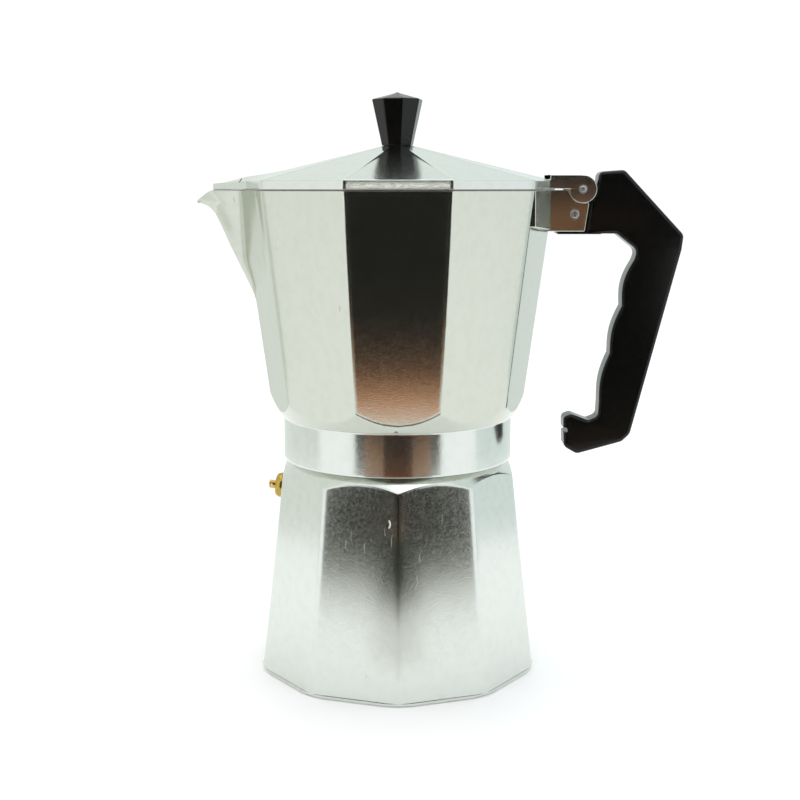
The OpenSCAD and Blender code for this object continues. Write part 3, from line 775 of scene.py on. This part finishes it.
def aluminium(name, light, dark, rough, grain, scratch):
    """Cast and polished aluminium: faint waves, grain, specks, sparse nicks and upright scratches."""
    s = Surface(name, 1.0)
    s.colour(s.noise(260, 6, seed=3), [(0.36, dark), (0.56, light)])
    s.spread(s.noise(900, 4, seed=1), rough[0], rough[1], "Roughness")
    s.relief(s.noise(24, 2, seed=5), 0.08, 0.0003)
    s.relief(s.noise(1500, 3, seed=2), grain, 0.00003)
    specks = s.ramp(s.noise(1900, 2, seed=11), [(0.5, (0, 0, 0)), (0.75, (1, 1, 1))])
    s.relief(specks, 0.12, 0.00006)
    s.relief(s.nicks(), 0.5, 0.0002)
    marks = s.ramp(s.noise(60, 2, (14, 14, 0.6), 7), [(0.71, (0, 0, 0)), (0.74, (1, 1, 1))])
    s.relief(marks, scratch, 0.00004)
    return s.material


def plain_metal(name, light, dark, rough, scale=900):
    s = Surface(name, 1.0)
    s.colour(s.noise(scale * 0.4, 4), [(0.35, dark), (0.62, light)])
    s.spread(s.noise(scale, 3, seed=4), rough[0], rough[1], "Roughness")
    s.relief(s.noise(scale * 1.6, 3, seed=9), 0.1, 0.00003)
    return s.material


def soft_material(name, light, dark, rough, relief, coat=0.0):
    s = Surface(name, 0.0, coat)
    s.colour(s.noise(320, 4), [(0.35, dark), (0.65, light)])
    s.spread(s.noise(700, 3, seed=4), rough[0], rough[1], "Roughness")
    s.relief(s.noise(60, 3, seed=6), relief, 0.0003)
    s.relief(s.noise(1800, 3, seed=8), relief, 0.00003)
    return s.material


CAST = aluminium(
    "cast_aluminium", (0.70, 0.735, 0.695), (0.675, 0.71, 0.67), (0.12, 0.18), 0.10, 0.3)
# Painted shade: a darker copy of the same cast aluminium, so the collector's faceted body comes out darker
# than the boiler, the lid and the collector's band
CAST_SHADED = aluminium(
    "cast_aluminium_painted_shade", (0.59, 0.615, 0.543), (0.57, 0.595, 0.523), (0.11, 0.17), 0.10, 0.3)
# Darker, rougher aluminium for the pot's inner faces, and painted shade on the collector's rim, the lid's
# lower edge and the slit in the beak, where the gaps between parts are dark
CAST_INSIDE_AND_GAP_SHADE = aluminium(
    "cast_aluminium_inside_and_gap_shade", (0.42, 0.42, 0.40), (0.39, 0.39, 0.372), (0.32, 0.45), 0.2, 0.2)
SHEET = plain_metal("sheet_aluminium", (0.80, 0.80, 0.79), (0.77, 0.77, 0.76), (0.22, 0.30))
COLUMN = plain_metal("column_aluminium", (0.74, 0.74, 0.72), (0.70, 0.70, 0.68), (0.32, 0.42), 600)
BRASS = plain_metal("brass", (0.55, 0.39, 0.09), (0.44, 0.29, 0.06), (0.14, 0.26))
BRASS_STEM = plain_metal("brass_stem", (0.80, 0.56, 0.20), (0.64, 0.40, 0.11), (0.18, 0.30))
SEAL = soft_material("seal_white", (0.78, 0.77, 0.72), (0.70, 0.69, 0.64), (0.45, 0.6), 0.2)
GASKET = soft_material("gasket_rubber", (0.80, 0.78, 0.70), (0.72, 0.70, 0.62), (0.5, 0.65), 0.25)
STEEL = plain_metal("spring_steel", (0.72, 0.72, 0.72), (0.58, 0.58, 0.58), (0.2, 0.32))
PIN = plain_metal("pin_steel", (0.70, 0.69, 0.67), (0.52, 0.51, 0.49), (0.22, 0.36))
WASHER = plain_metal("washer_steel", (0.74, 0.74, 0.74), (0.62, 0.62, 0.62), (0.2, 0.32))
PLASTIC = soft_material(
    "black_plastic", (0.0036, 0.0039, 0.0033), (0.0026, 0.0028, 0.0024), (0.13, 0.2), 0.06, 0.03)
PLASTIC.node_tree.nodes["Principled BSDF"].inputs["Specular IOR Level"].default_value = 0.26


def finish_piece(obj, body, material, slot, *nodes, areas=()):
    """Material, modifiers, body and CAD nodes of a piece. areas holds (material, test of a face) pairs."""
    obj.data.materials.clear()
    obj.data.materials.append(material)
    for index, (other, belongs) in enumerate(areas, 1):
        obj.data.materials.append(other)
        for face in obj.data.polygons:
            centre = (face.center - ORIGIN) / MM
            if belongs(centre, face.normal, math.hypot(centre.x, centre.y)):
                face.material_index = index
    if nodes:
        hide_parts(*nodes)
    weighted = obj.modifiers.new("weighted_normals", "WEIGHTED_NORMAL")
    weighted.keep_sharp = True
    weighted.weight = 80
    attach(obj, body)
    return obj


# ---------------------------------------------------------------- build the pieces
VALVE = valve_frame()

hole = turned("valve_hole", [(0.01, -14), (4.1, -14), (4.1, 6), (0.01, 6)], 48, place=VALVE)
boss = turned("valve_boss", [(0.01, -4.6), (7.4, -4.6, 0.3), (7.6, -2.2), (7.6, -1.2), (0.01, -1.2)], 48,
              place=VALVE)
boiler = carved(carved(boiler_body(), boss, "UNION"), hole)


def facing_in(centre, normal, r):
    return normal.x * centre.x + normal.y * centre.y < -0.25 * r


def in_boiler(c, n, r):
    """Faces of the boiler's cavity and its floor."""
    return (r < 58 and facing_in(c, n, r)) or (r < 54 and 2 < c.z < 20)


def on_band(c, n, r):
    """Faces of the collector's round band."""
    return c.z < 111 and r > 49


def collector_inside_and_rim_shade(c, n, r):
    """Faces of the collector's inner wall, rim, floor and threaded mouth; the rim's faces carry painted shade
    for the dark gap under the lid.
    """
    wall = facing_in(c, n, r) and c.x < 66
    # painted shade: the rim's top and its outer rounding are darkened to draw the dark gap under the lid
    rim = c.z > RIM - 0.35 and -79 < c.x < 61 and r > 50
    floor = n.z > 0.7 and r < 52 and 113 < c.z < 118
    mouth = r < 45.5 and c.z < 115
    return wall or rim or floor or mouth


def lid_underside_and_gap_shade(c, n, r):
    """Faces of the lid's underside, and painted shade on the lid's lower edge and in the slit in its beak."""
    # the lid's lower edge (c.z < LID_LOW + 0.32) is darkened as painted shade of the gap over the collector
    under = c.x < 61 and c.z < 226 and (n.z < -0.2 or facing_in(c, n, r) or c.z < LID_LOW + 0.32)
    # painted shade: the faces of the slit in the beak are darkened
    slit = abs(c.x + 66.92) < 0.3 and c.z > 212 and abs(c.y) < 13
    return under or slit


finish_piece(sharpen(boiler, 40), "boiler", CAST, "cast_aluminium", "boiler",
             areas=[(CAST_INSIDE_AND_GAP_SHADE, in_boiler)])

collector = collector_body()
collector = joined("collector_body", [collector, pad_slab(1), pad_slab(-1), cheek(1), cheek(-1)])
# the collector's body takes the painted-shade copy of the aluminium, and its band keeps the plain one
finish_piece(sharpen(collector, 50), "collector", CAST_SHADED, "cast_aluminium", "collector",
             areas=[(CAST, on_band), (CAST_INSIDE_AND_GAP_SHADE, collector_inside_and_rim_shade)])

slit = make_object("slit", [(x, y, z) for x in (-67.2, -66.65) for y in (-13, 13) for z in (212.2, 218)], [
    (0, 1, 3, 2), (4, 6, 7, 5), (0, 4, 5, 1), (2, 3, 7, 6), (0, 2, 6, 4), (1, 5, 7, 3)])
lid = joined("lid_body", [carved(lid_body(), slit), *lid_hinge()])
finish_piece(sharpen(lid, 50), "lid", CAST, "cast_aluminium", "lid", areas=[(CAST_INSIDE_AND_GAP_SHADE, lid_underside_and_gap_shade)])

finish_piece(knob_body(), "lid", PLASTIC, "black_plastic", "knob")
finish_piece(handle_body(), "collector", PLASTIC, "black_plastic", "handle")

hinge_rivet = rivet("hinge_rivet", HINGE, 1.5, HINGE_HALF - 0.2, 0.35)
finish_piece(hinge_rivet, "collector", PIN, "pin_steel", "hinge_pin")
handle_rivet = rivet("handle_rivet", HANDLE_PIN, 1.8, HANDLE_PIN_HALF - 0.15, 0.25)
finish_piece(handle_rivet, "collector", PIN, "pin_steel", "handle_pin")

flange = 104.8
funnel = turned("funnel_sheet", [
    (43.2, 104, 0.2), (43.2, flange, 0.3), (39.4, flange, 0.5), (39.4, 83, 0.3), (38.4, 83, 0.4),
    (36.2, 80, 0.4), (7.5, 72.8, 0.8), (5.7, 71.3, 0.8), (5.7, 10, 0.3), (6.5, 10, 0.3),
    (6.5, 70.5, 1), (8, 72, 0.8),
    (37.2, 79, 0.8), (40.2, 82.2, 1), (40.2, 104, 0.5)][::-1], 144, ring=True)
finish_piece(sharpen(funnel, 40), "funnel", SHEET, "sheet_aluminium", "funnel")

ring_of_rubber = turned("gasket_ring", [
    (33.5, flange), (33.5, 108.4, 0.4), (36.5, 108.4), (43, 108.4, 0.4), (43.6, 107.7, 0.3),
    (43.6, flange, 0.4), (38, flange)][::-1], 144, ring=True)
finish_piece(ring_of_rubber, "gasket", GASKET, "gasket_rubber", "gasket")

column = turned("column_cast", [
    (4.2, 112.2), (7, 112.2, 0.3), (7, 115.2), (12.3, 115.2, 0.4), (10.6, 117, 0.8),
    (8, 176, 0.3), (4.2, 176, 0.3), (4.2, 150)], 96, ring=True)
finish_piece(column, "collector", COLUMN, "column_aluminium", "column")

valve = turned("valve_dome", [
    (0.95, -9.4), (3.6, -9.4, 0.2), (4, -9, 0.2), (4, 0), (5.5, 0, 0.2), (5.6, 1.3, 0.4),
    (5.2, 2.6, 0.6), (4.3, 3.5, 0.6), (3, 3.8, 0.3), (1.96, 3.8, 0.2), (1.96, 2.4), (2.9, 2.4),
    (2.9, -7.6), (1.2, -7.6), (1.2, -9.1)], 72, ring=True, place=VALVE)
finish_piece(sharpen(valve, 40), "boiler", BRASS, "brass", "valve_body")

coil = spring_coil(VALVE, -6.13, 2.13, 2.4, 0.25, 6)
finish_piece(coil, "boiler", STEEL, "spring_steel", "valve_spring")
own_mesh(coil)

KEPT = {
    "valve_washer": (SEAL, "seal_white", 0.12), "valve_nut": (BRASS, "brass", 0.25),
    "valve_stem": (BRASS_STEM, "brass_stem", 0.12), "funnel_screen": (SHEET, "sheet_aluminium", 0.06),
    "filter_plate": (SHEET, "sheet_aluminium", 0.06), "column_cap": (COLUMN, "column_aluminium", 0.15),
    "knob_screw": (PIN, "pin_steel", 0.12), "knob_washer": (WASHER, "washer_steel", 0.12)}
for name, (material, slot_name, width) in KEPT.items():
    node = frame["nodes"][name]
    node.data.materials.clear()
    node.data.materials.append(material)
    modifier = node.modifiers.new("bevel", "BEVEL")
    modifier.width = width * MM
    modifier.segments = 2
    modifier.limit_method = "ANGLE"
    modifier.angle_limit = math.radians(35)
    modifier.use_clamp_overlap = True


# ---------------------------------------------------------------- stage, light and camera
def emitter(name, stops, scale, axis, strength):
    """A material that shines with a colour ramp along one of its own axes."""
    material = bpy.data.materials.new(name)
    material.use_nodes = True
    tree = material.node_tree
    tree.nodes.clear()
    coords = tree.nodes.new("ShaderNodeTexCoord")
    split = tree.nodes.new("ShaderNodeSeparateXYZ")
    ramp = tree.nodes.new("ShaderNodeValToRGB")
    glow = tree.nodes.new("ShaderNodeEmission")
    out = tree.nodes.new("ShaderNodeOutputMaterial")
    while len(ramp.color_ramp.elements) < len(stops):
        ramp.color_ramp.elements.new(0.5)
    for element, (at, colour) in zip(ramp.color_ramp.elements, stops):
        element.position = at
        element.color = (*colour, 1)
    glow.inputs["Strength"].default_value = strength
    tree.links.new(coords.outputs["Generated"], split.inputs["Vector"])
    tree.links.new(split.outputs[axis], ramp.inputs["Fac"])
    tree.links.new(ramp.outputs["Color"], glow.inputs["Color"])
    tree.links.new(glow.outputs["Emission"], out.inputs["Surface"])
    return material


def card(name, x0, x1, z0, z1, y, material):
    """An upright panel in front of the pot that only the metal's reflections see."""
    mesh = bpy.data.meshes.new(name)
    mesh.from_pydata([(x0 * MM, y * MM, z0 * MM), (x1 * MM, y * MM, z0 * MM), (x1 * MM, y * MM, z1 * MM),
                      (x0 * MM, y * MM, z1 * MM)], [], [(0, 1, 2, 3)])
    mesh.materials.append(material)
    obj = bpy.data.objects.new(name, mesh)
    bpy.context.scene.collection.objects.link(obj)
    obj.visible_camera = False
    obj.visible_shadow = False
    obj.visible_diffuse = False
    return obj


CARD_Y = -305
middle = emitter("card_middle", [
    (0.0, (0.92, 0.66, 0.47)), (0.02, (0.95, 0.41, 0.165)), (0.045, (0.60, 0.225, 0.085)),
    (0.07, (0.13, 0.065, 0.035)), (0.095, (0.060, 0.038, 0.026)), (0.125, (0.035, 0.026, 0.020)),
    (0.16, (0.0125, 0.013, 0.0115)), (0.50, (0.0125, 0.013, 0.0115)),
    (0.51, (0.3, 0.29, 0.27)), (0.516, (2.5, 2.45, 2.3)), (0.532, (2.5, 2.45, 2.3)),
    (0.54, (0.02, 0.02, 0.02)), (1.0, (0.010, 0.011, 0.010))], 1, "Z", 1.0)
flank = emitter("card_flank", [
    (0.0, (0.95, 0.93, 0.90)), (0.04, (0.78, 0.74, 0.68)), (0.065, (0.40, 0.31, 0.23)),
    (0.085, (0.40, 0.21, 0.11)), (0.115, (0.30, 0.14, 0.07)), (0.14, (0.10, 0.075, 0.055)),
    (0.17, (0.03, 0.028, 0.024)),
    (0.43, (0.014, 0.0145, 0.013)), (0.45, (0.26, 0.12, 0.063)), (0.488, (0.37, 0.175, 0.097)),
    (0.500, (0.12, 0.07, 0.045)), (0.508, (0.015, 0.015, 0.013)), (1.0, (0.010, 0.011, 0.010))], 1, "Z", 1.0)
sides = emitter("card_sides", [
    (0.0, (0.95, 0.95, 0.94)), (0.032, (0.88, 0.88, 0.85)), (0.06, (0.34, 0.34, 0.30)),
    (0.08, (0.10, 0.10, 0.08)), (0.10, (0.033, 0.033, 0.018)), (0.15, (0.018, 0.018, 0.009)),
    (0.26, (0.018, 0.018, 0.009)), (0.29, (1.5, 1.5, 1.48)), (0.42, (1.6, 1.6, 1.58)),
    (0.43, (0.02, 0.02, 0.017)), (0.55, (0.05, 0.05, 0.045)), (0.6, (0.9, 0.9, 0.9))], 1, "Z", 1.0)
dark = emitter("card_dark", [(0.0, (0.013, 0.0135, 0.012)), (1.0, (0.011, 0.0115, 0.010))], 1, "Z", 1.0)
card("card_middle", -62, 62, 0.3, 400, CARD_Y, middle)
card("card_flank_left", -177, -62.5, 0.3, 400, CARD_Y, flank)
card("card_flank_right", 62.5, 177, 0.3, 400, CARD_Y, flank)
card("card_left", -262, -177.5, 0.3, 400, CARD_Y, sides)
card("card_right", 177.5, 262, 0.3, 400, CARD_Y, sides)
low = emitter("card_low", [
    (0.0, (0.90, 0.90, 0.87)), (0.35, (0.80, 0.80, 0.76)), (0.46, (0.50, 0.50, 0.46)),
    (0.58, (0.16, 0.16, 0.135)), (0.70, (0.045, 0.045, 0.035)), (1.0, (0.03, 0.03, 0.022))], 1, "Z", 1.0)
card("card_low", -78, 78, 0.3, 62, -150, low)
card("card_dark_left", -192, -166, 85, 400, CARD_Y + 2, dark)
card("card_dark_right", 166, 192, 85, 400, CARD_Y + 2, dark)

# pale walls at the sides and behind, seen only in the metal
wall_mesh = bpy.data.meshes.new("studio_wall")
wall_points, wall_faces = [], []
for i in range(41):
    a = math.radians(78 + 204 * i / 40)
    wall_points += [(0.44 * math.sin(a), -0.44 * math.cos(a), z) for z in (0.003, 0.9)]
    if i:
        wall_faces.append((2 * i - 2, 2 * i - 1, 2 * i + 1, 2 * i))
wall_mesh.from_pydata(wall_points, [], wall_faces)
wall_mesh.materials.append(emitter("studio_wall", [
    (0.0, (0.87, 0.90, 0.85)), (0.5, (0.87, 0.93, 0.90)), (1.0, (0.82, 0.90, 0.90))], 1, "X", 1.0))
wall = bpy.data.objects.new("studio_wall", wall_mesh)
bpy.context.scene.collection.objects.link(wall)
wall.visible_camera = wall.visible_shadow = wall.visible_diffuse = False

floor_material = bpy.data.materials.new("floor_white")
floor_material.use_nodes = True
floor_shader = floor_material.node_tree.nodes["Principled BSDF"]
floor_shader.inputs["Base Color"].default_value = (0.94, 0.94, 0.94, 1)
floor_shader.inputs["Roughness"].default_value = 0.8
floor_shader.inputs["Emission Color"].default_value = (1, 1, 1, 1)
floor_shader.inputs["Emission Strength"].default_value = 0.05
floor_mesh = bpy.data.meshes.new("floor")
floor_mesh.from_pydata([(-6, -6, 0), (6, -6, 0), (6, 6, 0), (-6, 6, 0)], [], [(0, 1, 2, 3)])
floor_mesh.materials.append(floor_material)
floor = bpy.data.objects.new("floor", floor_mesh)
floor.location.z = BASE_LOW.z
bpy.context.scene.collection.objects.link(floor)

world = bpy.data.worlds.new("studio")
bpy.context.scene.world = world
world.use_nodes = True
sky = world.node_tree.nodes["Background"]
sky.inputs["Strength"].default_value = 1.05
direction = world.node_tree.nodes.new("ShaderNodeTexCoord")
parts = world.node_tree.nodes.new("ShaderNodeSeparateXYZ")
sideways = world.node_tree.nodes.new("ShaderNodeMapRange")
tint = world.node_tree.nodes.new("ShaderNodeValToRGB")
sideways.inputs["From Min"].default_value = -1
tint.color_ramp.elements[0].color = (1.0, 1.0, 0.985, 1)
tint.color_ramp.elements[1].color = (0.965, 1.0, 1.03, 1)
world.node_tree.links.new(direction.outputs["Generated"], parts.inputs["Vector"])
world.node_tree.links.new(parts.outputs["X"], sideways.inputs["Value"])
world.node_tree.links.new(sideways.outputs["Result"], tint.inputs["Fac"])
world.node_tree.links.new(tint.outputs["Color"], sky.inputs["Color"])


def soft_lamp(name, place, aim, size, power, colour):
    lamp = bpy.data.lights.new(name, "AREA")
    lamp.size = size
    lamp.energy = power
    lamp.color = colour
    obj = bpy.data.objects.new(name, lamp)
    obj.location = place
    obj.rotation_euler = (Vector(aim) - Vector(place)).to_track_quat("-Z", "Y").to_euler()
    bpy.context.scene.collection.objects.link(obj)


soft_lamp("lamp_top", (0.1, 0.2, 1.5), (0, 0, 0.1), 1.4, 6, (1, 1, 1))

camera_data = bpy.data.cameras.new("camera")
camera_data.lens = 58.357
camera_data.sensor_width = 36
camera = bpy.data.objects.new("camera", camera_data)
camera.location = ORIGIN + Vector((-0.00257, -0.56818, 0.21003))
camera.rotation_euler = (math.radians(80.6799), 0, math.radians(-0.37027))
bpy.context.scene.collection.objects.link(camera)
bpy.context.scene.camera = camera
bpy.context.scene.view_settings.view_transform = "Standard"
